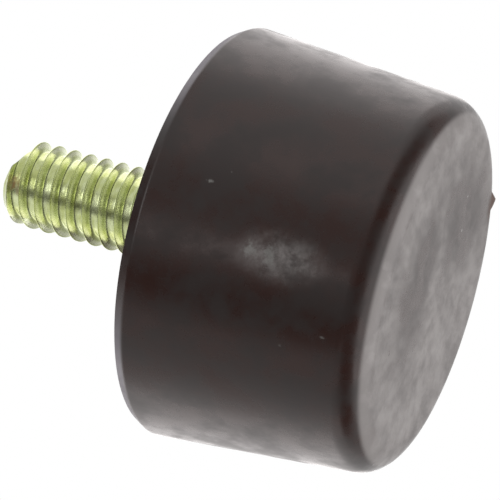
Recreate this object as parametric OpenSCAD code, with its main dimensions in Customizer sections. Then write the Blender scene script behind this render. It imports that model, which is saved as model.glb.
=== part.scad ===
// Screw-in appliance foot: a tapered rubber bumper moulded round the head of a threaded steel stud.
// The foot stands on its bearing face at z = 0, and the stud points up along +Z.

/* [Rubber body] */
// Diameter of the shoulder, the end that the stud comes out of
shoulder_d = 29.5; // [26:0.5:40]
// Diameter of the bearing face, before its edge is rounded
face_d = 26; // [20:0.5:26]
// Height from the bearing face to the shoulder
body_h = 16.9; // [15:0.1:30]
// Radius of the bearing face's edge
face_edge_r = 2.3; // [1:0.1:4]
// Height of the bevel round the shoulder, along the side
bevel_h = 0.7; // [0.3:0.1:1.5]
// Width of the same bevel, along the shoulder
bevel_w = 0.45; // [0.3:0.05:1.5]

/* [Gate mark] */
// Diameter of the gate mark where it leaves the edge
gate_mark_d = 1.2; // [0.8:0.1:2]
// Height of the gate mark above the edge
gate_mark_h = 0.28; // [0.1:0.02:0.3]
// Direction of the gate mark round the foot, in degrees
gate_mark_turn = 52; // [0:1:359]

/* [Stud] */
// Outside diameter of the thread
stud_d = 6.3; // [5:0.1:8]
// Pitch of the thread
thread_pitch = 1.27; // [0.8:0.01:1.5]
// Length of the stud beyond the shoulder
stud_reach = 15.2; // [8:0.1:40]
// Form of the thread: rings in place of its turns, or the cut helix
thread_form = "rings"; // [rings, helix]
// Slant of the end where the stud was cropped, in degrees
crop_slant = 16; // [5:1:25]

/* [Anchor head] */
// Width of the hexagonal head across its flats
head_af = 11.1; // [9:0.1:14]
// Thickness of the head
head_h = 4.1; // [3:0.1:5]
// Thickness of the rubber between the head and the shoulder
head_cover = 4; // [3:0.1:6]

/* [Hidden] */
$fn = 96;

// Side of the body: its lean, and the tangent length of the bearing face's rounded edge
side_lean = atan2((shoulder_d - face_d) / 2, body_h);
side_dir = [sin(side_lean), cos(side_lean)];
face_corner = [face_d / 2, 0];
shoulder_corner = [shoulder_d / 2, body_h];
face_tangent = face_edge_r / tan(45 + side_lean / 2);
face_edge_centre = face_corner + [-face_tangent, face_edge_r];

// Gate mark: a blunt cone square to the rounded edge, turned just far enough up the edge to clear the
// bearing plane with its foot and its tip
gate_mark_tip_d = gate_mark_d / 4;
gate_mark_sink = face_edge_r / 4;
gate_mark_clearance = 0.02;
function clear_tilt(reach, radius) =
    atan2(radius, reach) + acos((face_edge_r - gate_mark_clearance) / norm([reach, radius]));
gate_mark_tilt = max(
    clear_tilt(face_edge_r, gate_mark_d / 2),
    clear_tilt(face_edge_r + gate_mark_h, gate_mark_tip_d / 2));

// Heights along the stud: the shank is rooted in the middle of the head
head_top = body_h - head_cover;
shank_root = head_top - head_h / 2;
stud_top = body_h + stud_reach;

// Thread: a 60 degree V with a flat crest
flank_angle = 30;
thread_depth = 0.6134 * thread_pitch;
crest_flat = thread_pitch / 8;
flank_h = thread_depth * tan(flank_angle);
root_d = stud_d - 2 * thread_depth;
// A rolled thread stands proud of a shank as thick as the thread's pitch diameter
shank_d = stud_d - 0.6495 * thread_pitch;
shank_cone_h = (stud_d - shank_d) / 2;
// The slant of the cropped end starts a little beyond the axis
crop_start = -stud_d / 12;

// Rings: whole crests a pitch apart, counted from the one at the shoulder
ring_count = floor((stud_reach - crest_flat - flank_h) / thread_pitch);

// Half section of a crest and of the groove above it, from below the crest to the groove's root
function ring_outline(turn) =
    let (crest = body_h + turn * thread_pitch)
    [if (turn > 0) [root_d / 2, crest - crest_flat / 2 - flank_h],
     if (turn > 0) [stud_d / 2, crest - crest_flat / 2],
     [stud_d / 2, crest + crest_flat / 2],
     [root_d / 2, crest + crest_flat / 2 + flank_h]];

rings_outline = [for (turn = [0 : ring_count]) each ring_outline(turn)];
helix_blank_outline = [[stud_d / 2, stud_top - thread_depth]];

// Helix: one groove that runs out short of the shoulder
groove_over = 0.08 * thread_pitch;
groove_outer_half = (thread_pitch - crest_flat) / 2 + groove_over * tan(flank_angle);
groove_root_half = (thread_pitch - crest_flat) / 2 - thread_depth * tan(flank_angle);
runout_turns = 0.5;
shoulder_gap = 0.1;
groove_start = body_h + shoulder_gap + groove_outer_half;
thread_start = 30;
groove_steps = 24;
groove_rings = ceil(groove_steps * (stud_top + groove_outer_half - groove_start) / thread_pitch) + 1;

// Outward shift of the groove's section at a ring: it rises out of the stud over the run-out
function groove_lift(ring) =
    (thread_depth + groove_over) * max(0, 1 - ring / (runout_turns * groove_steps));

// The four corners of the groove's section, as radius and height above the section's middle
function groove_section(ring) =
    let (outer = stud_d / 2 + groove_over + groove_lift(ring), root = root_d / 2 + groove_lift(ring))
    [[outer, -groove_outer_half], [outer, groove_outer_half],
     [root, groove_root_half], [root, -groove_root_half]];

// The same corners in place along the right-hand helix
function groove_ring(ring) =
    let (turn = thread_start + 360 * ring / groove_steps,
         middle = groove_start + thread_pitch * ring / groove_steps)
    [for (corner = groove_section(ring))
        [corner.x * cos(turn), corner.x * sin(turn), middle + corner.y]];

module thread_groove() {
    points = [for (ring = [0 : groove_rings - 1]) each groove_ring(ring)];
    last = 4 * (groove_rings - 1);
    sides = [for (ring = [0 : groove_rings - 2], corner = [0 : 3])
        let (a = 4 * ring + corner, b = 4 * ring + (corner + 1) % 4)
        each [[a, b, b + 4], [a, b + 4, a + 4]]];
    caps = [[0, 3, 2, 1], [last, last + 1, last + 2, last + 3]];
    polyhedron(points = points, faces = concat(sides, caps), convexity = 10);
}

// Everything above the slant of the cropped end
module above_crop() {
    translate([crop_start, 0, stud_top])
        rotate([0, crop_slant, 0])
            translate([0, -stud_d, 0])
                cube([2 * stud_d, 2 * stud_d, stud_d]);
}

// The stud before a helix is cut: hexagonal head, shank, cone up to the thread, and the thread's outline
module stud_blank() {
    translate([0, 0, head_top - head_h])
        cylinder(h = head_h, d = head_af / cos(30), $fn = 6);
    rotate_extrude()
        polygon(concat(
            [[0, shank_root], [shank_d / 2, shank_root], [shank_d / 2, body_h - shank_cone_h],
             [stud_d / 2, body_h]],
            thread_form == "rings" ? rings_outline : helix_blank_outline,
            [[root_d / 2, stud_top], [0, stud_top]]
        ));
}

// Half section of the body, with its face's edge rounded and its shoulder bevelled
module body_profile() {
    polygon([
        [0, 0],
        face_corner - [face_tangent, 0],
        face_corner + face_tangent * side_dir,
        shoulder_corner - bevel_h * side_dir,
        shoulder_corner - [bevel_w, 0],
        [0, body_h]
    ]);
    translate(face_edge_centre) circle(r = face_edge_r);
}

module gate_mark() {
    rotate([0, 0, gate_mark_turn])
        translate([face_edge_centre.x, 0, face_edge_centre.y])
            rotate([0, 180 - gate_mark_tilt, 0])
                rotate_extrude()
                    polygon([
                        [0, face_edge_r - gate_mark_sink],
                        [gate_mark_d / 2, face_edge_r - gate_mark_sink],
                        [gate_mark_d / 2, face_edge_r],
                        [gate_mark_tip_d / 2, face_edge_r + gate_mark_h],
                        [0, face_edge_r + gate_mark_h]
                    ]);
}

module rubber_body() {
    color([0.21, 0.19, 0.19])
        difference() {
            union() {
                rotate_extrude() body_profile();
                gate_mark();
            }
            stud_blank();
        }
}

module threaded_stud() {
    color([0.66, 0.70, 0.44])
        difference() {
            stud_blank();
            above_crop();
            if (thread_form == "helix") thread_groove();
        }
}

rubber_body();
threaded_stud();
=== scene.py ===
import math

import bmesh
import bpy
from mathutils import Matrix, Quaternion, Vector, noise


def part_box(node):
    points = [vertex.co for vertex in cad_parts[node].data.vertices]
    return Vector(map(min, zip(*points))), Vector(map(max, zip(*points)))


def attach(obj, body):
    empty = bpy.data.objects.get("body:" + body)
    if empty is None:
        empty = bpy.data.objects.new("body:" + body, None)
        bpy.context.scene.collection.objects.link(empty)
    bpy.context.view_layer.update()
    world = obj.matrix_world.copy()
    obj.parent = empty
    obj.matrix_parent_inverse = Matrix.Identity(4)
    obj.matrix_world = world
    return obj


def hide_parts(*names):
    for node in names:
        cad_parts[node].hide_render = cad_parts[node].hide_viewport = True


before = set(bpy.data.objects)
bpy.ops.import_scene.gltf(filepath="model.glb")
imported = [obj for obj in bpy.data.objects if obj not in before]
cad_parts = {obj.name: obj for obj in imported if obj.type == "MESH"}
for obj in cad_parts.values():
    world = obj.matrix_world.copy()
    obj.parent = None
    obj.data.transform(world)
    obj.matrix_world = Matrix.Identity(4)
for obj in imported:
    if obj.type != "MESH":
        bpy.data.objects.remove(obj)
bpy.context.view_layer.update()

MM = 0.001

# Sizes of the rubber body, as in the solids, with the bevel's lower corner rounded
BODY_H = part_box("rubber_body")[1].z
SHOULDER_R = 14.75 * MM
FACE_R = 13.0 * MM
FACE_EDGE_R = 2.3 * MM
BEVEL_H = 0.7 * MM
BEVEL_W = 0.45 * MM
BEVEL_ROUND = 0.12 * MM
# Gate mark, a little bolder than in the solids
GATE_MARK_R = 0.8 * MM
GATE_MARK_H = 0.38 * MM
GATE_MARK_TURN = math.radians(52.0)
GATE_MARK_TILT = math.radians(31.5)

# Sizes of the stud, as in the solids
STUD_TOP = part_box("threaded_stud")[1].z
STUD_REACH = STUD_TOP - BODY_H
HEAD_COVER = 4.0 * MM
HEAD_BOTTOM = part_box("threaded_stud")[0].z
HEAD_TOP = BODY_H - HEAD_COVER
HEAD_FLAT_R = 5.55 * MM
STUD_R = 3.15 * MM
PITCH = 1.27 * MM
# Depths of the solids' thread root and of the shank below the crests, as shares of the pitch
ROOT_SHARE = 0.6134
SHANK_SHARE = 0.32475
ROOT_R = STUD_R - ROOT_SHARE * PITCH
SHANK_R = STUD_R - SHANK_SHARE * PITCH
SHANK_TOP = BODY_H - (STUD_R - SHANK_R)
# Height above the shoulder of one crest of the helix, on the +X side
CREST_REACH = 7.58 * MM

# The photograph's camera: where it stands, the point it looks at, its roll and its lens
CAMERA_SPOT = Vector((0.0, -144.12, -38.16)) * MM
CAMERA_AIM = Vector((-0.50, -4.33, 12.03)) * MM
CAMERA_ROLL = math.radians(-74.85)
SENSOR_WIDTH = 36.0
LENS = 158.4
CLIP_START = 0.01
CLIP_END = 20.0


def make_camera():
    data = bpy.data.cameras.new("camera")
    data.sensor_width = SENSOR_WIDTH
    data.lens = LENS
    data.clip_start = CLIP_START
    data.clip_end = CLIP_END
    camera = bpy.data.objects.new("camera", data)
    look = (CAMERA_AIM - CAMERA_SPOT).to_track_quat("-Z", "Y")
    camera.rotation_mode = "QUATERNION"
    camera.rotation_quaternion = look @ Quaternion((0.0, 0.0, 1.0), CAMERA_ROLL)
    camera.location = CAMERA_SPOT
    bpy.context.collection.objects.link(camera)
    bpy.context.scene.camera = camera


# Node helpers

# Bands of noise values that a pattern is drawn from: the usual one, and a wider one
NOISE_MID = (0.34, 0.66)
NOISE_WIDE = (0.3, 0.7)
ORIGIN = (0.0, 0.0, 0.0)


def math_node(tree, operation, first, second):
    node = tree.nodes.new("ShaderNodeMath")
    node.operation = operation
    for socket, value in zip(node.inputs, (first, second)):
        if isinstance(value, (int, float)):
            socket.default_value = value
        else:
            tree.links.new(value, socket)
    return node.outputs[0]


def vector_node(tree, operation, vector, value):
    node = tree.nodes.new("ShaderNodeVectorMath")
    node.operation = operation
    tree.links.new(vector, node.inputs[0])
    node.inputs[1].default_value = value
    return node


def largest(tree, shares):
    """The largest of several values."""
    found = shares[0]
    for share in shares[1:]:
        found = math_node(tree, "MAXIMUM", found, share)
    return found


def map_range(tree, value, from_min, from_max, to_min=0.0, to_max=1.0):
    node = tree.nodes.new("ShaderNodeMapRange")
    node.interpolation_type = "SMOOTHSTEP"
    tree.links.new(value, node.inputs["Value"])
    node.inputs["From Min"].default_value = from_min
    node.inputs["From Max"].default_value = from_max
    node.inputs["To Min"].default_value = to_min
    node.inputs["To Max"].default_value = to_max
    return node.outputs["Result"]


def mix_color(tree, factor, first, second):
    node = tree.nodes.new("ShaderNodeMix")
    node.data_type = "RGBA"
    tree.links.new(factor, node.inputs["Factor"])
    for socket, value in ((node.inputs["A"], first), (node.inputs["B"], second)):
        if isinstance(value, tuple):
            socket.default_value = (*value, 1.0)
        else:
            tree.links.new(value, socket)
    return node.outputs["Result"]


def noise_texture(tree, vector, pattern):
    """Noise with a pattern's scale, detail and roughness."""
    node = tree.nodes.new("ShaderNodeTexNoise")
    for name, value in zip(("Scale", "Detail", "Roughness"), pattern):
        node.inputs[name].default_value = value
    tree.links.new(vector, node.inputs["Vector"])
    return node.outputs["Fac"]


def ragged(tree, place, pattern, reach):
    """Noise to add to a distance, so that an edge at that distance is ragged."""
    return map_range(tree, noise_texture(tree, place, pattern), *NOISE_WIDE, -reach, reach)


def along(tree, vector, way):
    """How far a vector points along a direction."""
    return vector_node(tree, "DOT_PRODUCT", vector, way).outputs["Value"]


def distance_from(tree, vector, point):
    return vector_node(tree, "DISTANCE", vector, point).outputs["Value"]


def oval_distance(tree, place, spot, size):
    """Distance from a spot as a share of an oval patch's half sizes."""
    off = vector_node(tree, "SUBTRACT", place, spot).outputs[0]
    scaled = vector_node(tree, "DIVIDE", off, size).outputs[0]
    return distance_from(tree, scaled, ORIGIN)


def stretched(tree, place, stretch):
    """The place, drawn together so that a texture on it is stretched."""
    return vector_node(tree, "MULTIPLY", place, stretch).outputs[0]


def axis_distance(tree, place):
    """Distance from the Z axis."""
    return distance_from(tree, stretched(tree, place, (1.0, 1.0, 0.0)), ORIGIN)


def bump(tree, height, strength, distance):
    node = tree.nodes.new("ShaderNodeBump")
    node.inputs["Strength"].default_value = strength
    node.inputs["Distance"].default_value = distance
    tree.links.new(height, node.inputs["Height"])
    return node.outputs["Normal"]


def new_material(name):
    material = bpy.data.materials.new(name)
    material.use_nodes = True
    tree = material.node_tree
    shader = tree.nodes["Principled BSDF"]
    place = tree.nodes.new("ShaderNodeTexCoord").outputs["Object"]
    return material, tree, shader, place


# Studio: white all round but for shades on the camera's side, overhead and below, with a pale floor

WHITE = (1.0, 1.0, 1.0, 1.0)
LIGHT_LEVEL = 0.62
DARK_LEVEL = 0.04
UP = (0.0, 0.0, 1.0)
DOWN = (0.0, 0.0, -1.0)
# Shades on the camera's side and overhead: azimuth, rise, angles to edge and core, and depth of each
SHADES = (
    (-88.0, 4.0, 48.0, 18.0, 0.66),
    (-30.0, 46.0, 46.0, 20.0, 0.34),
    (-130.0, 2.0, 20.0, 4.0, 0.88),
    (-156.0, -7.0, 40.0, 14.0, 0.46),
    (-131.0, 31.0, 17.0, 6.0, 0.60),
    (-90.0, 82.0, 30.0, 14.0, 0.85),
)
# The darkest strip, upright beside the camera: its azimuth, the sines of its edge and core, and its depth
DARK_STRIP = -122.0
DARK_STRIP_EDGE = math.sin(math.radians(15.0))
DARK_STRIP_CORE = math.sin(math.radians(7.0))
DARK_STRIP_DEPTH = 0.97
# The cosines between which the strip fades in towards its own side of the studio
DARK_STRIP_FRONT = (0.3, 0.6)
# The heights between which the strip pales, as sines, and how much of it is left above them
DARK_STRIP_PALES = (math.sin(math.radians(17.0)), math.sin(math.radians(25.0)))
DARK_STRIP_LEFT = 0.93
# The dark below the horizon, which ends where the pale sweep behind the foot begins
PALE_SWEEP = (90.0, -24.0)
PALE_SWEEP_EDGE = math.cos(math.radians(66.0))
PALE_SWEEP_CORE = math.cos(math.radians(57.0))
PALE_SWEEP_DEPTH = 0.57
DARK_BELOW_START = 0.10
DARK_BELOW_FULL = 0.34
# Lamps: name, azimuth, rise, distance, width, height, brightness and color of each
NEUTRAL = (1.0, 1.0, 1.0)
WARM = (1.0, 0.92, 0.91)
LAMPS = (
    ("back_upper_lamp", 44.0, 24.0, 0.45, 0.72, 0.36, 0.84, WARM),
    ("back_lower_lamp", 132.0, 24.0, 0.45, 0.66, 0.36, 0.79, WARM),
    ("back_middle_lamp", 90.0, 20.0, 0.45, 0.30, 0.30, 0.9, NEUTRAL),
    ("under_lamp", 90.0, -80.0, 0.40, 0.80, 0.80, 1.5, NEUTRAL),
    ("front_high_lamp", -88.0, 35.0, 0.35, 0.17, 0.08, 2.5, NEUTRAL),
    ("front_low_lamp", -97.0, 9.0, 0.35, 0.07, 0.07, 1.3, NEUTRAL),
)
# The floor: half its width, how far it lies below the bearing face, and its paint
FLOOR_HALF = 0.6
FLOOR_DROP = 0.02 * MM
FLOOR_PAINT = (0.9, 0.9, 0.9, 1.0)


def direction_to(turn, rise):
    """Unit vector at an azimuth and a height above the horizon, both in degrees."""
    turn = math.radians(turn)
    rise = math.radians(rise)
    return Vector((math.cos(turn) * math.cos(rise), math.sin(turn) * math.cos(rise), math.sin(rise)))


def strip_shade(tree, way):
    """The darkest strip's share of dark in a direction."""
    off_strip = math_node(tree, "ABSOLUTE", along(tree, way, direction_to(DARK_STRIP + 90.0, 0.0)), 0.0)
    strip = map_range(tree, off_strip, DARK_STRIP_EDGE, DARK_STRIP_CORE, 0.0, DARK_STRIP_DEPTH)
    front = map_range(tree, along(tree, way, direction_to(DARK_STRIP, 0.0)), *DARK_STRIP_FRONT)
    left = map_range(tree, along(tree, way, UP), *DARK_STRIP_PALES, 1.0, DARK_STRIP_LEFT)
    return math_node(tree, "MULTIPLY", math_node(tree, "MULTIPLY", strip, front), left)


def shade_below(tree, way):
    """The share of dark below the horizon in a direction."""
    sweep = along(tree, way, direction_to(*PALE_SWEEP))
    off_sweep = map_range(tree, sweep, PALE_SWEEP_EDGE, PALE_SWEEP_CORE, 1.0, PALE_SWEEP_DEPTH)
    below = map_range(tree, along(tree, way, DOWN), DARK_BELOW_START, DARK_BELOW_FULL)
    return math_node(tree, "MULTIPLY", off_sweep, below)


def studio_level(tree):
    """Brightness of the studio in a direction, as shiny surfaces mirror it."""
    way = tree.nodes.new("ShaderNodeTexCoord").outputs["Generated"]
    shades = [shade_below(tree, way), strip_shade(tree, way)]
    for turn, rise, edge, core, depth in SHADES:
        toward = along(tree, way, direction_to(turn, rise))
        edge_cos = math.cos(math.radians(edge))
        core_cos = math.cos(math.radians(core))
        shades.append(map_range(tree, toward, edge_cos, core_cos, 0.0, depth))
    return map_range(tree, largest(tree, shades), 0.0, 1.0, 1.0, DARK_LEVEL)


def make_world():
    world = bpy.data.worlds.new("studio")
    bpy.context.scene.world = world
    world.use_nodes = True
    tree = world.node_tree
    tree.nodes.clear()
    path = tree.nodes.new("ShaderNodeLightPath")
    seen = math_node(tree, "MAXIMUM", studio_level(tree), path.outputs["Is Camera Ray"])
    mirror = math_node(tree, "MAXIMUM", path.outputs["Is Glossy Ray"], path.outputs["Is Transmission Ray"])
    shown = math_node(tree, "MAXIMUM", path.outputs["Is Camera Ray"], mirror)
    backdrop = tree.nodes.new("ShaderNodeBackground")
    backdrop.inputs["Color"].default_value = WHITE
    tree.links.new(seen, backdrop.inputs["Strength"])
    light = tree.nodes.new("ShaderNodeBackground")
    light.inputs["Color"].default_value = WHITE
    light.inputs["Strength"].default_value = LIGHT_LEVEL
    mix = tree.nodes.new("ShaderNodeMixShader")
    tree.links.new(shown, mix.inputs["Fac"])
    tree.links.new(light.outputs[0], mix.inputs[1])
    tree.links.new(backdrop.outputs[0], mix.inputs[2])
    output = tree.nodes.new("ShaderNodeOutputWorld")
    tree.links.new(mix.outputs[0], output.inputs["Surface"])


def make_lamp(name, turn, rise, away, width, height, brightness, color):
    """An oval lamp aimed at the body, its power set by how bright its face looks."""
    data = bpy.data.lights.new(name, "AREA")
    data.color = color
    data.shape = "ELLIPSE"
    data.size = width
    data.size_y = height
    data.energy = brightness * math.pi * math.pi * width * height / 4
    lamp = bpy.data.objects.new(name, data)
    way = direction_to(turn, rise)
    lamp.location = Vector((0.0, 0.0, BODY_H / 2)) + away * way
    lamp.rotation_mode = "QUATERNION"
    lamp.rotation_quaternion = way.to_track_quat("Z", "Y")
    bpy.context.collection.objects.link(lamp)


def floor_material():
    """Pale paint for a camera above the floor; everything else passes through."""
    material = bpy.data.materials.new("floor")
    material.use_nodes = True
    tree = material.node_tree
    tree.nodes.clear()
    path = tree.nodes.new("ShaderNodeLightPath")
    back = tree.nodes.new("ShaderNodeNewGeometry").outputs["Backfacing"]
    front = math_node(tree, "SUBTRACT", 1.0, back)
    shown = math_node(tree, "MULTIPLY", path.outputs["Is Camera Ray"], front)
    paint = tree.nodes.new("ShaderNodeBsdfDiffuse")
    paint.inputs["Color"].default_value = FLOOR_PAINT
    clear = tree.nodes.new("ShaderNodeBsdfTransparent")
    mix = tree.nodes.new("ShaderNodeMixShader")
    tree.links.new(shown, mix.inputs["Fac"])
    tree.links.new(clear.outputs[0], mix.inputs[1])
    tree.links.new(paint.outputs[0], mix.inputs[2])
    output = tree.nodes.new("ShaderNodeOutputMaterial")
    tree.links.new(mix.outputs[0], output.inputs["Surface"])
    return material


def make_floor():
    """A pale floor that is seen from above only, so that the bearing face can be seen from below."""
    half = FLOOR_HALF
    mesh = bpy.data.meshes.new("floor")
    corners = [(-half, -half, 0.0), (half, -half, 0.0), (half, half, 0.0), (-half, half, 0.0)]
    mesh.from_pydata(corners, [], [(0, 1, 2, 3)])
    mesh.materials.append(floor_material())
    floor = bpy.data.objects.new("floor", mesh)
    floor.location.z = -FLOOR_DROP
    bpy.context.collection.objects.link(floor)


# Turned meshes

MERGE_DISTANCE = 0.0002 * MM
SHARP_ANGLE = math.radians(40.0)


def turned_mesh(name, rings, angles, climb=0, finish=None):
    """A closed mesh of rings round the Z axis, with a fan at both ends. Where each ring climbs in its turn,
    it meets the ring that lies climb rings above its start. Points that coincide are merged."""
    count = len(angles)
    last = len(rings) - 1
    verts = [point for ring in rings for point in ring]
    faces = []
    for row in range(last):
        for i in range(count):
            low = row * count + i
            if i + 1 < count:
                faces.append((low, low + 1, low + count + 1, low + count))
            else:
                start_low = min(row + climb, last) * count
                start_high = min(row + 1 + climb, last) * count
                faces.append((low, start_low, start_high, low + count))
    for ring, first, turn in ((rings[0], 0, -1), (rings[-1], last * count, 1)):
        hub = len(verts)
        verts.append((0.0, 0.0, sum(point[2] for point in ring) / count))
        for i in range(count):
            j = (i + 1) % count
            faces.append((first + i, first + j, hub)[::turn])
    mesh = bpy.data.meshes.new(name)
    mesh.from_pydata(verts, [], faces)
    mesh.validate()
    work = bmesh.new()
    work.from_mesh(mesh)
    bmesh.ops.remove_doubles(work, verts=work.verts, dist=MERGE_DISTANCE)
    if finish:
        finish(work)
    bmesh.ops.recalc_face_normals(work, faces=work.faces)
    work.to_mesh(mesh)
    work.free()
    mesh.shade_smooth()
    mesh.set_sharp_from_angle(angle=SHARP_ANGLE)
    piece = bpy.data.objects.new(name, mesh)
    bpy.context.collection.objects.link(piece)
    return piece


def spread(start, end, steps):
    """Evenly spaced values after start, up to end."""
    return [start + (end - start) * (i + 1) / steps for i in range(steps)]


def smoothstep(value):
    value = min(max(value, 0.0), 1.0)
    return value * value * (3.0 - 2.0 * value)


def smooth_min(first, second, blend):
    share = min(max(0.5 + 0.5 * (second - first) / blend, 0.0), 1.0)
    return second + (first - second) * share - blend * share * (1.0 - share)


def round_ring(angles, radius, height):
    return [(radius * math.cos(angle), radius * math.sin(angle), height) for angle in angles]


def hex_radius(angle, flat_r):
    """Distance from the middle of a hexagon to its side, at an angle."""
    corner = math.radians(60.0)
    return flat_r / math.cos((angle % corner) - corner / 2)


def hex_ring(angles, height):
    """A ring round the stud's hexagonal head."""
    ring = []
    for angle in angles:
        radius = hex_radius(angle, HEAD_FLAT_R)
        ring.append((radius * math.cos(angle), radius * math.sin(angle), height))
    return ring


# Rubber body

SIDE_LEAN = math.atan2(SHOULDER_R - FACE_R, BODY_H)
FACE_TANGENT = FACE_EDGE_R / math.tan(math.pi / 4 + SIDE_LEAN / 2)
FACE_FLAT_R = FACE_R - FACE_TANGENT
SHOULDER_FLAT_R = SHOULDER_R - BEVEL_W
# Steps along the outline: bearing face, its edge, side, the bevel's lower corner, bevel and shoulder
FACE_STEPS = 24
EDGE_STEPS = 56
SIDE_STEPS = 60
CORNER_STEPS = 8
BEVEL_STEPS = 5
SHOULDER_STEPS = 12
# Steps round the body, and the finer steps to each side of the gate mark
BODY_STEPS = 240
FINE_STEPS = 20
FINE_STEP = math.radians(0.25)
# Waves in the rubber: their height, their length, and the length and share of smaller ones on them
WAVE_HEIGHT = 0.012 * MM
WAVE_LENGTH = 4.0 * MM
SMALL_WAVE_LENGTH = 1.4 * MM
SMALL_WAVE_SHARE = 0.4


def body_outline():
    """Radius, height and outward normal along the outside, from the bearing face to the stud's hole."""
    down = Vector((0.0, -1.0))
    up = Vector((0.0, 1.0))
    out = Vector((math.cos(SIDE_LEAN), -math.sin(SIDE_LEAN)))
    points = [(radius, 0.0, down) for radius in spread(0.0, FACE_FLAT_R, FACE_STEPS)]
    for tilt in spread(0.0, math.pi / 2 - SIDE_LEAN, EDGE_STEPS):
        normal = Vector((math.sin(tilt), -math.cos(tilt)))
        points.append((FACE_FLAT_R + FACE_EDGE_R * normal.x, FACE_EDGE_R * (1.0 + normal.y), normal))
    start = Vector(points[-1][:2])
    side = Vector((math.sin(SIDE_LEAN), math.cos(SIDE_LEAN)))
    corner = Vector((SHOULDER_R, BODY_H)) - BEVEL_H * side
    top = Vector((SHOULDER_FLAT_R, BODY_H))
    slope = (top - corner).normalized()
    bevel = Vector((slope.y, -slope.x))
    end = corner - BEVEL_ROUND * side
    turned = corner + BEVEL_ROUND * slope
    for share in spread(0.0, 1.0, SIDE_STEPS):
        spot = start.lerp(end, share)
        points.append((spot.x, spot.y, out))
    for share in spread(0.0, 1.0, CORNER_STEPS):
        spot = end.lerp(corner, share).lerp(corner.lerp(turned, share), share)
        points.append((spot.x, spot.y, out.lerp(bevel, share).normalized()))
    for share in spread(0.0, 1.0, BEVEL_STEPS):
        spot = turned.lerp(top, share)
        points.append((spot.x, spot.y, bevel))
    for radius in spread(SHOULDER_FLAT_R, STUD_R, SHOULDER_STEPS):
        points.append((radius, BODY_H, up))
    return points


def body_angles():
    """Even steps round the body, with finer ones across the gate mark."""
    coarse = [math.tau * i / BODY_STEPS for i in range(BODY_STEPS)]
    fine = [GATE_MARK_TURN + FINE_STEP * i for i in range(-FINE_STEPS, FINE_STEPS + 1)]
    return sorted(set(round(angle, 6) for angle in coarse + fine))


def gate_mark_spot():
    """Middle of the gate mark, on the rounded edge."""
    radius = FACE_FLAT_R + FACE_EDGE_R * math.sin(GATE_MARK_TILT)
    height = FACE_EDGE_R * (1.0 - math.cos(GATE_MARK_TILT))
    return Vector((radius * math.cos(GATE_MARK_TURN), radius * math.sin(GATE_MARK_TURN), height))


def gate_mark_height(spot, centre):
    """Height of the gate mark's cone over the edge, at a point of the edge."""
    share = (spot - centre).length / GATE_MARK_R
    return GATE_MARK_H * max(0.0, 1.0 - share)


def make_body():
    angles = body_angles()
    centre = gate_mark_spot()
    rings = []
    for radius, height, normal in body_outline():
        ring = []
        for angle in angles:
            round_dir = Vector((math.cos(angle), math.sin(angle), 0.0))
            spot = radius * round_dir + Vector((0.0, 0.0, height))
            outward = normal.x * round_dir + Vector((0.0, 0.0, normal.y))
            small_wave = SMALL_WAVE_SHARE * noise.noise(spot / SMALL_WAVE_LENGTH)
            wave = noise.noise(spot / WAVE_LENGTH) + small_wave
            lift = gate_mark_height(spot, centre) - WAVE_HEIGHT * (1.0 + wave) / 2
            ring.append(spot + lift * outward)
        rings.append(ring)
    for height in (SHANK_TOP, HEAD_TOP):
        rings.append(round_ring(angles, SHANK_R, height))
    for height in (HEAD_TOP, HEAD_BOTTOM):
        rings.append(hex_ring(angles, height))
    return turned_mesh("rubber_foot", rings, angles)


# Threaded stud

# The thread's section: a little shallower and steeper than in the solids, with a wide rounded root
CREST_HALF = 0.02 * MM
CREST_ROUND = 0.04 * MM
FLANK_ANGLE = math.radians(20.0)
FLANK_SLOPE = 1.0 / math.tan(FLANK_ANGLE)
THREAD_DEPTH = 0.70 * MM
ROOT_ROUND = 0.34 * MM
# The end is cropped at a slant towards +X: where the slant starts, and its angle
CROP_FROM = -STUD_R / 6
CROP_SLANT = math.radians(16.0)
# Heights above the shoulder over which the thread fades in
RUNOUT_LOW = 0.25 * MM
RUNOUT_HIGH = 1.1 * MM
# Steps round the stud, rows in a pitch, and how much closer the rows lie at the crest
STUD_STEPS = 144
PITCH_ROWS = 24
ROW_CROWD = 0.7


def thread_radius(off_crest, reach):
    """Radius at a distance from the crest along the stud, and at a height above the shoulder."""
    flank = STUD_R - (abs(off_crest) - CREST_HALF) * FLANK_SLOPE
    radius = smooth_min(STUD_R, flank, CREST_ROUND)
    radius = -smooth_min(-radius, THREAD_DEPTH - STUD_R, ROOT_ROUND)
    chamfer = ROOT_R + STUD_REACH - reach
    radius = smooth_min(radius, chamfer, CREST_ROUND)
    threaded = smoothstep((reach - RUNOUT_LOW) / (RUNOUT_HIGH - RUNOUT_LOW))
    return STUD_R + (radius - STUD_R) * threaded


def thread_row(row, angles):
    """One row of points that climbs along the right-hand thread, held between the shoulder and the end."""
    turn, step = divmod(row, PITCH_ROWS)
    share = step / PITCH_ROWS
    share -= ROW_CROWD * math.sin(math.tau * share) / math.tau
    off_crest = PITCH * (share - round(share))
    ring = []
    for angle in angles:
        reach = CREST_REACH + PITCH * (turn + share + angle / math.tau)
        reach = min(max(reach, 0.0), STUD_REACH)
        radius = thread_radius(off_crest, reach)
        ring.append((radius * math.cos(angle), radius * math.sin(angle), BODY_H + reach))
    return ring


def crop_end(work):
    """Cuts the end off at its slant and closes the cut."""
    geometry = work.verts[:] + work.edges[:] + work.faces[:]
    spot = (CROP_FROM, 0.0, STUD_TOP)
    way = (math.sin(CROP_SLANT), 0.0, math.cos(CROP_SLANT))
    cut = bmesh.ops.bisect_plane(work, geom=geometry, plane_co=spot, plane_no=way, clear_outer=True)
    rim = [part for part in cut["geom_cut"] if isinstance(part, bmesh.types.BMEdge)]
    bmesh.ops.holes_fill(work, edges=rim)


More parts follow.
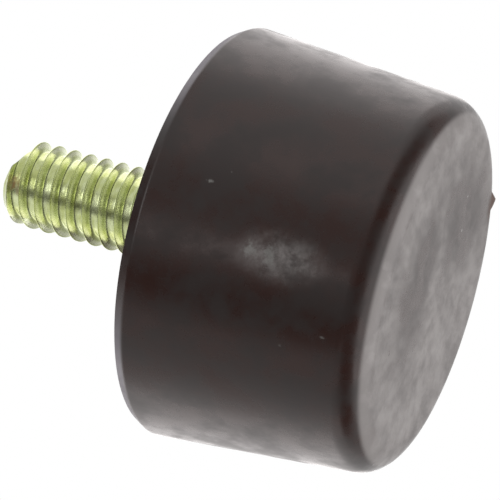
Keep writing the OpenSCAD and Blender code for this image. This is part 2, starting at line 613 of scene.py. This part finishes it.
def make_stud():
    angles = [math.tau * i / STUD_STEPS for i in range(STUD_STEPS)]
    rings = [hex_ring(angles, HEAD_BOTTOM), hex_ring(angles, HEAD_TOP)]
    for height in (HEAD_TOP, SHANK_TOP):
        rings.append(round_ring(angles, SHANK_R, height))
    first_turn = -math.ceil(CREST_REACH / PITCH) - 1
    last_turn = math.ceil((STUD_REACH - CREST_REACH) / PITCH)
    for row in range(first_turn * PITCH_ROWS, last_turn * PITCH_ROWS + 1):
        rings.append(thread_row(row, angles))
    return turned_mesh("zinc_stud", rings, angles, PITCH_ROWS, crop_end)


# Rubber finish: brown-black, with a grey bloom and painted reflection on the bearing face and round its
# edge, painted highlights on the shoulder's bevel and in a scuff, and brown dirt and painted shade by the
# gate mark

RUBBER_BROWN = (0.0285, 0.0118, 0.0092)
RUBBER_GREY = (0.0212, 0.0128, 0.0113)
# Grey bloom and painted reflection on the bearing face, also the pale colour of the scuff with its painted
# highlight
BLOOM_AND_SHEEN = (0.205, 0.186, 0.180)
# Brown dirt and painted shade round the gate mark
GATE_DIRT_AND_SHADE = (0.068, 0.033, 0.021)
SPECK = (0.22, 0.21, 0.205)
NICK = (0.17, 0.165, 0.155)
# Painted highlight on the shoulder's bevel, lavender-white
RIM_HIGHLIGHT = (0.225, 0.205, 0.232)
RUBBER_IOR = 1.5
# Patterns of noise: scale, detail and roughness of each
TINT_CLOUDS = (330.0, 5.0, 0.6)
POLISH_PATCHES = (330.0, 5.0, 0.62)
BLOOM_CLOUDS = (260.0, 4.0, 0.6)
BLOOM_MOTTLE = (1100.0, 4.0, 0.6)
RUBBED_EDGE = (330.0, 4.0, 0.6)
SCUFF_CLOUDS = (900.0, 5.0, 0.65)
SCUFF_GRAIN = (2600.0, 4.0, 0.65)
NICK_EDGE = (2800.0, 4.0, 0.7)
RUBBER_DENTS = (900.0, 3.0, 0.6)
RUBBER_GRAIN = (4200.0, 4.0, 0.65)
# Strength and depth of the dents and of the grain
DENT_RELIEF = (0.20, 0.03 * MM)
GRAIN_RELIEF = (0.07, 0.04 * MM)
# Noise values between which brown turns to grey
TINT_BAND = (0.36, 0.64)
# Roughness of the polished and the duller patches, what bloom and dull places add, and how dull the rim is
RUBBER_ROUGH = (0.21, 0.40)
BLOOM_ROUGH = 0.12
DULL_ROUGH = 0.30
RIM_DULL = 0.8
# Heights on the bearing face's edge between which the bloom and its painted reflection thin out
BLOOM_FULL_Z = 0.34 * MM
BLOOM_END_Z = 0.62 * MM
# The streaks of bloom and painted reflection run along Y, and their cover comes from clouds and from mottle
BLOOM_STRETCH = (1.0, 0.55, 1.0)
CLOUD_COVER = (0.38, 0.76)
MOTTLE_COVER = (0.0, 0.24)
# Radii between which the bloom and its painted reflection even out towards the edge, and their cover there
EDGE_START_R = 9.6 * MM
EDGE_FULL_R = 12.3 * MM
EDGE_COVER = 0.80
# Rubbed, darker patches on the bearing face: the spot and the half sizes of each, in millimetres
RUBBED = (
    ((5.4, 2.2), (4.6, 8.0)),
    ((0.8, -4.2), (7.4, 4.4)),
)
# Shares of the half sizes between which a rubbed patch fades, how ragged it is, and the bloom and painted
# reflection left in it
RUBBED_FADE = (0.2, 1.15)
RUBBED_RAGGED = 0.22
RUBBED_LEFT = 0.22
# Distances from the gate mark between which the bloom and its painted reflection start, and those between
# which its brown dirt and painted shade end
GATE_BARE = (0.65 * MM, 2.6 * MM)
GATE_TINT = (0.7 * MM, 2.0 * MM)
# The shoulder's bevel: heights, radii and distances from the YZ plane over which its painted highlight
# grows
RIM_START_Z = BODY_H - 0.80 * MM
RIM_FULL_Z = BODY_H - 0.40 * MM
RIM_START_R = SHOULDER_R - 0.75 * MM
RIM_FULL_R = SHOULDER_R - 0.45 * MM
RIM_START_X = 5.0 * MM
RIM_FULL_X = 10.5 * MM
RIM_STRENGTH = 0.9
# A scuffed patch on the side with a painted highlight in it: its spot, half sizes, fade and strength
SCUFF_SPOT = Vector((-0.4, -13.7, 6.6)) * MM
SCUFF_SIZE = Vector((2.1, 3.0, 3.9)) * MM
SCUFF_FADE = (0.1, 1.0)
SCUFF_STRENGTH = 0.74
# Noise values over which the scuff's clouds thicken, and the least share of its clouds and of its grain
SCUFF_BAND = (0.34, 0.60)
SCUFF_CLOUD_LEAST = 0.30
SCUFF_GRAIN_LEAST = 0.55
# Small pale nicks on the side: the spot and the half sizes in millimetres, and the strength of each
NICKS = (
    ((-0.4, -13.8, 8.6), (0.60, 0.6, 0.50), 0.7),
    ((-0.5, -13.7, 7.3), (0.80, 0.6, 0.50), 0.7),
    ((3.1, -13.9, 12.4), (0.12, 0.5, 0.26), 0.9),
    ((-5.8, -12.3, 5.6), (0.10, 0.5, 0.12), 0.35),
    ((-4.6, -12.5, 2.95), (0.08, 0.5, 0.22), 0.5),
)
NICK_FADE = (0.0, 1.1)
NICK_RAGGED = 0.5
# Dust specks: scale of their cells, radii in a cell between which a speck fades, and share of bare cells
SPECK_SCALE = 420.0
SPECK_FADE = (0.03, 0.06)
SPECK_BARE = 0.55


def scuff_and_sheen_share(tree, place):
    """High in the middle of the scuffed patch and its painted highlight, 0 outside it, in smeared clouds.
    """
    away = oval_distance(tree, place, SCUFF_SPOT, SCUFF_SIZE)
    reach = map_range(tree, away, *SCUFF_FADE, 1.0, 0.0)
    clouds = noise_texture(tree, place, SCUFF_CLOUDS)
    clouds = map_range(tree, clouds, *SCUFF_BAND, SCUFF_CLOUD_LEAST, 1.0)
    grain = noise_texture(tree, place, SCUFF_GRAIN)
    grain = map_range(tree, grain, *NOISE_WIDE, SCUFF_GRAIN_LEAST, 1.0)
    return math_node(tree, "MULTIPLY", reach, math_node(tree, "MULTIPLY", clouds, grain))


def nick_share(tree, place):
    """High on the small pale nicks, with ragged edges."""
    rough_edge = ragged(tree, place, NICK_EDGE, NICK_RAGGED)
    nicks = []
    for spot, size, strength in NICKS:
        away = oval_distance(tree, place, Vector(spot) * MM, Vector(size) * MM)
        away = math_node(tree, "ADD", away, rough_edge)
        nicks.append(map_range(tree, away, *NICK_FADE, strength, 0.0))
    return largest(tree, nicks)


def rubbed_share(tree, place):
    """1 in the middle of the rubbed patches, 0 outside them, with ragged edges."""
    rough_edge = ragged(tree, place, RUBBED_EDGE, RUBBED_RAGGED)
    patches = []
    for (x, y), (half_x, half_y) in RUBBED:
        spot = Vector((x, y, 0.0)) * MM
        size = Vector((half_x, half_y, half_y)) * MM
        away = math_node(tree, "ADD", oval_distance(tree, place, spot, size), rough_edge)
        patches.append(map_range(tree, away, *RUBBED_FADE, 1.0, 0.0))
    return largest(tree, patches)


def bloom_and_sheen_share(tree, place, parts):
    """How much of the surface the grey bloom and its painted reflection cover: cloudy on the bearing face,
    even on its edge.
    """
    near_face = map_range(tree, parts.outputs["Z"], BLOOM_FULL_Z, BLOOM_END_Z, 1.0, 0.0)
    drawn = stretched(tree, place, BLOOM_STRETCH)
    clouds = map_range(tree, noise_texture(tree, drawn, BLOOM_CLOUDS), *NOISE_MID, *CLOUD_COVER)
    mottle = map_range(tree, noise_texture(tree, drawn, BLOOM_MOTTLE), *NOISE_MID, *MOTTLE_COVER)
    cover = math_node(tree, "ADD", clouds, mottle)
    wear = map_range(tree, rubbed_share(tree, place), 0.0, 1.0, 1.0, RUBBED_LEFT)
    cover = math_node(tree, "MULTIPLY", cover, wear)
    edge = map_range(tree, axis_distance(tree, place), EDGE_START_R, EDGE_FULL_R, 0.0, EDGE_COVER)
    cover = math_node(tree, "MAXIMUM", cover, edge)
    off_gate = map_range(tree, distance_from(tree, place, gate_mark_spot()), *GATE_BARE)
    cover = math_node(tree, "MULTIPLY", cover, off_gate)
    return math_node(tree, "MULTIPLY", near_face, cover)


def rim_highlight_share(tree, place, parts):
    """How much painted highlight the shoulder's bevel gets: pale on both sides, not in front and behind."""
    high = map_range(tree, parts.outputs["Z"], RIM_START_Z, RIM_FULL_Z)
    wide = map_range(tree, axis_distance(tree, place), RIM_START_R, RIM_FULL_R)
    bevel = math_node(tree, "MULTIPLY", high, wide)
    sideways = math_node(tree, "ABSOLUTE", parts.outputs["X"], 0.0)
    sideways = map_range(tree, sideways, RIM_START_X, RIM_FULL_X, 0.0, RIM_STRENGTH)
    return math_node(tree, "MULTIPLY", bevel, sideways)


def speck_share(tree, place):
    """1 on a few dust specks."""
    cells = tree.nodes.new("ShaderNodeTexVoronoi")
    cells.inputs["Scale"].default_value = SPECK_SCALE
    tree.links.new(place, cells.inputs["Vector"])
    dot = map_range(tree, cells.outputs["Distance"], *SPECK_FADE, 1.0, 0.0)
    chance = tree.nodes.new("ShaderNodeSeparateColor")
    tree.links.new(cells.outputs["Color"], chance.inputs["Color"])
    dusty = math_node(tree, "GREATER_THAN", chance.outputs["Red"], SPECK_BARE)
    return math_node(tree, "MULTIPLY", dot, dusty)


def rubber_material():
    material, tree, shader, place = new_material("brown_black_rubber")
    parts = tree.nodes.new("ShaderNodeSeparateXYZ")
    tree.links.new(place, parts.inputs[0])
    cloud = noise_texture(tree, place, TINT_CLOUDS)
    tint = mix_color(tree, map_range(tree, cloud, *TINT_BAND), RUBBER_BROWN, RUBBER_GREY)
    # The scuff and its painted highlight, in the pale colour of the bloom
    scuff_and_sheen = math_node(tree, "MULTIPLY", scuff_and_sheen_share(tree, place), SCUFF_STRENGTH)
    tint = mix_color(tree, scuff_and_sheen, tint, BLOOM_AND_SHEEN)
    # Painted highlight on the shoulder's bevel, pale on both sides
    rim = rim_highlight_share(tree, place, parts)
    tint = mix_color(tree, rim, tint, RIM_HIGHLIGHT)
    # Grey bloom on the bearing face and its edge, partly painted reflection
    bloom_and_sheen = bloom_and_sheen_share(tree, place, parts)
    tint = mix_color(tree, bloom_and_sheen, tint, BLOOM_AND_SHEEN)
    # Brown dirt and painted shade round the gate mark
    gate = map_range(tree, distance_from(tree, place, gate_mark_spot()), *GATE_TINT, 1.0, 0.0)
    tint = mix_color(tree, gate, tint, GATE_DIRT_AND_SHADE)
    tint = mix_color(tree, speck_share(tree, place), tint, SPECK)
    tint = mix_color(tree, nick_share(tree, place), tint, NICK)
    tree.links.new(tint, shader.inputs["Base Color"])
    patch = noise_texture(tree, place, POLISH_PATCHES)
    polish = map_range(tree, patch, *NOISE_MID, *RUBBER_ROUGH)
    rough = math_node(tree, "ADD", polish, math_node(tree, "MULTIPLY", bloom_and_sheen, BLOOM_ROUGH))
    dull = math_node(tree, "MAXIMUM", gate, math_node(tree, "MULTIPLY", rim, RIM_DULL))
    rough = math_node(tree, "ADD", rough, math_node(tree, "MULTIPLY", dull, DULL_ROUGH))
    tree.links.new(rough, shader.inputs["Roughness"])
    shader.inputs["IOR"].default_value = RUBBER_IOR
    dents = bump(tree, noise_texture(tree, place, RUBBER_DENTS), *DENT_RELIEF)
    grain = bump(tree, noise_texture(tree, place, RUBBER_GRAIN), *GRAIN_RELIEF)
    tree.links.new(dents, grain.node.inputs["Normal"])
    tree.links.new(grain, shader.inputs["Normal"])
    return material


# Zinc finish: yellow-green in olive and pale streaks, painted light on the thread's flanks, and a rust spot
# by the cropped end

ZINC_OLIVE = (0.53, 0.585, 0.225)
ZINC_PALE = (0.71, 0.77, 0.45)
# Painted light for the thread's flanks
ZINC_FLANK_LIGHT = (0.88, 0.91, 0.65)
RUST = (0.25, 0.115, 0.033)
# Patterns of noise: scale, detail and roughness of each
ZINC_STREAKS = (1700.0, 4.0, 0.65)
ZINC_PATCHES = (2500.0, 3.0, 0.6)
ZINC_GRAIN = (1900.0, 4.0, 0.62)
RUST_EDGE = (2400.0, 4.0, 0.65)
# The streaks run round the stud
STREAK_STRETCH = (0.35, 0.35, 1.0)
# Strength and depth of the grain
ZINC_RELIEF = (0.35, 0.04 * MM)
# Painted light on the thread's flanks, paler than the plating: the radii over which it starts and ends, and
# its strength
FLANK_START = (2.66 * MM, 2.90 * MM)
FLANK_END = (3.00 * MM, 3.12 * MM)
FLANK_STRENGTH = 0.9
# Roughness of the polished and the duller patches, and how metallic the plating is
ZINC_ROUGH = (0.16, 0.30)
ZINC_METAL = 0.80
# The rust spot: its place, half sizes, fade and strength, how ragged, rough and metallic it is
RUST_SPOT = Vector((-0.3, -2.7, 31.1)) * MM
RUST_SIZE = Vector((0.55, 0.8, 0.50)) * MM
RUST_FADE = (-0.1, 1.7)
RUST_STRENGTH = 0.9
RUST_RAGGED = 0.6
RUST_ROUGH = 0.3
RUST_METAL = 0.30


def zinc_material():
    material, tree, shader, place = new_material("yellow_green_zinc")
    streaks = noise_texture(tree, stretched(tree, place, STREAK_STRETCH), ZINC_STREAKS)
    tint = mix_color(tree, map_range(tree, streaks, *NOISE_MID), ZINC_OLIVE, ZINC_PALE)
    radius = axis_distance(tree, place)
    # Painted light that lifts the shade on the thread's flanks
    above_root = map_range(tree, radius, *FLANK_START, 0.0, FLANK_STRENGTH)
    below_crest = map_range(tree, radius, *FLANK_END, 1.0, 0.0)
    flank = math_node(tree, "MULTIPLY", above_root, below_crest)
    tint = mix_color(tree, flank, tint, ZINC_FLANK_LIGHT)
    away = oval_distance(tree, place, RUST_SPOT, RUST_SIZE)
    away = math_node(tree, "ADD", away, ragged(tree, place, RUST_EDGE, RUST_RAGGED))
    rust = map_range(tree, away, *RUST_FADE, RUST_STRENGTH, 0.0)
    tree.links.new(mix_color(tree, rust, tint, RUST), shader.inputs["Base Color"])
    metal = map_range(tree, rust, 0.0, RUST_STRENGTH, ZINC_METAL, RUST_METAL)
    tree.links.new(metal, shader.inputs["Metallic"])
    patch = noise_texture(tree, place, ZINC_PATCHES)
    polish = map_range(tree, patch, *NOISE_WIDE, *ZINC_ROUGH)
    rough = math_node(tree, "ADD", polish, math_node(tree, "MULTIPLY", rust, RUST_ROUGH))
    tree.links.new(rough, shader.inputs["Roughness"])
    grain = noise_texture(tree, place, ZINC_GRAIN)
    tree.links.new(bump(tree, grain, *ZINC_RELIEF), shader.inputs["Normal"])
    return material


def dress(piece, material, node):
    piece.data.materials.append(material)
    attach(piece, "root")
    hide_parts(node)


make_camera()
make_world()
for lamp in LAMPS:
    make_lamp(*lamp)
make_floor()
dress(make_body(), rubber_material(), "rubber_body")
dress(make_stud(), zinc_material(), "threaded_stud")
bpy.context.scene.view_settings.view_transform = "Standard"
